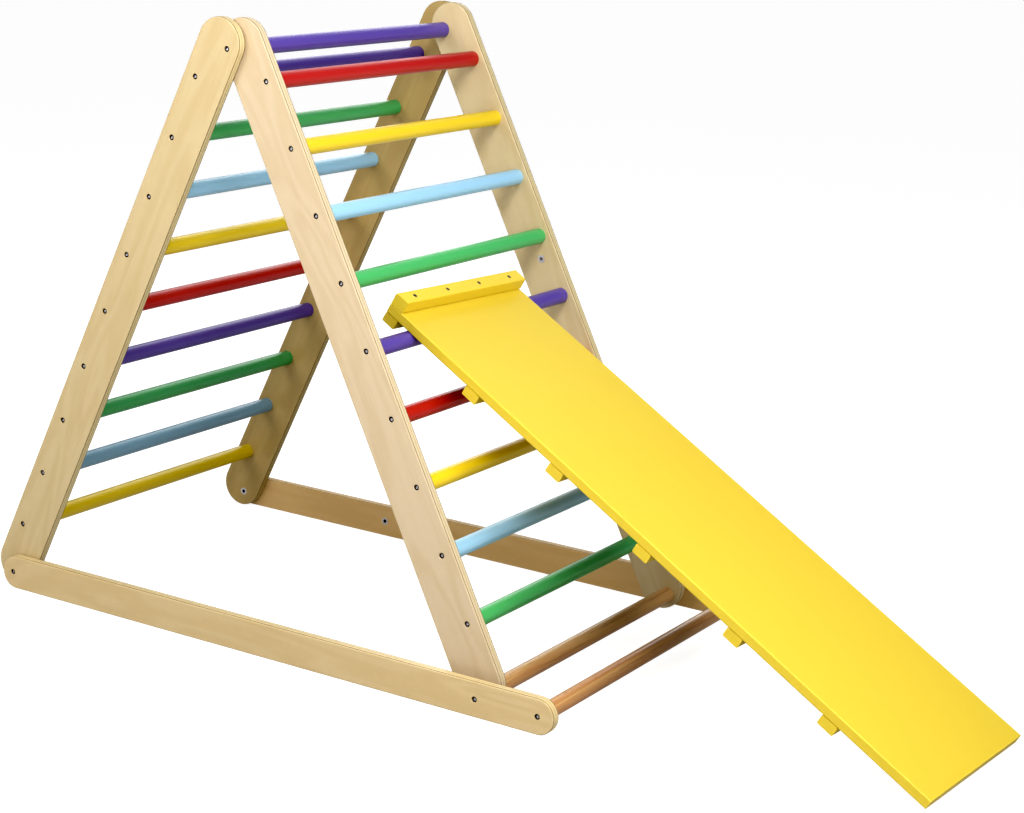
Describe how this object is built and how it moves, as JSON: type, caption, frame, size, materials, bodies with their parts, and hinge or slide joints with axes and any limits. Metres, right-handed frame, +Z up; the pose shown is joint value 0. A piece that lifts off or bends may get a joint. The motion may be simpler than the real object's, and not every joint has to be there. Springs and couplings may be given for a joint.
{
  "type": "folding climbing triangle",
  "caption": "Folding wooden climbing triangle for children: hinged rung ladders on a base frame, with a painted ramp that hooks over a rung.",
  "frame": {"origin": "centre of the footprint on the floor, with the ramp hooked on", "axes": "+X from the rear ladder towards the foot of the ramp, +Y along the rungs towards the far side, +Z up"},
  "size_m": [1.5879, 0.6152, 0.9422],
  "materials": {
    "birch_plywood": "clear satin lacquer over birch plywood, layers showing on the edges",
    "paint_purple": "painted hardwood dowel, semi-gloss purple",
    "paint_red": "painted hardwood dowel, semi-gloss red",
    "paint_yellow": "painted hardwood dowel, semi-gloss yellow",
    "paint_blue": "painted hardwood dowel, semi-gloss light blue",
    "paint_green": "painted hardwood dowel, semi-gloss green",
    "stained_dowel": "oiled reddish-brown hardwood dowel",
    "ramp_paint": "painted plywood, satin bright yellow",
    "steel": "zinc-plated steel"
  },
  "bodies": {
    "front_ladder": {"front_stile_near": "birch_plywood", "front_stile_far": "birch_plywood", "front_rung_1": "paint_red", "front_rung_2": "paint_yellow", "front_rung_3": "paint_blue", "front_rung_4": "paint_green", "front_rung_5": "paint_purple", "front_rung_6": "paint_red", "front_rung_7": "paint_yellow", "front_rung_8": "paint_blue", "front_rung_9": "paint_green", "front_screws": "steel", "storage_bolt": "steel"},
    "rear_ladder": {"rear_stile_near": "birch_plywood", "rear_stile_far": "birch_plywood", "rear_rung_1": "paint_purple", "rear_rung_2": "paint_green", "rear_rung_3": "paint_blue", "rear_rung_4": "paint_yellow", "rear_rung_5": "paint_red", "rear_rung_6": "paint_purple", "rear_rung_7": "paint_green", "rear_rung_8": "paint_blue", "rear_rung_9": "paint_yellow", "rear_screws": "steel", "top_rung": "paint_purple", "top_rung_screws": "steel", "foot_inserts": "steel"},
    "base": {"base_rail_near": "birch_plywood", "base_rail_far": "birch_plywood", "hinge_dowel": "stained_dowel", "front_dowel": "stained_dowel", "base_screws": "steel", "foot_bolts": "steel", "storage_insert": "steel"},
    "ramp": {"ramp_board": "ramp_paint", "ramp_top_bar": "ramp_paint", "ramp_hook_bar": "ramp_paint", "ramp_tread_1": "ramp_paint", "ramp_tread_2": "ramp_paint", "ramp_tread_3": "ramp_paint", "ramp_tread_4": "ramp_paint", "ramp_tread_5": "ramp_paint", "top_bar_screws": "steel", "tread_screws": "steel"}
  },
  "joints": [
    {"name": "apex_fold", "type": "hinge", "parent": "front_ladder", "child": "rear_ladder", "pos_m": [-0.34032, 0, 0.8965], "axis": [0, -1, 0], "range_deg": [0, 51.9]},
    {"name": "base_fold", "type": "hinge", "parent": "front_ladder", "child": "base", "pos_m": [0.13218, 0, 0.0265], "axis": [0, 1, 0], "range_deg": [0, 62.8]},
    {"name": "ramp_lift", "type": "slide", "parent": "front_ladder", "child": "ramp", "axis": [0.4963, 0, 0.8681], "range_m": [0, 0.3]}
  ]
}
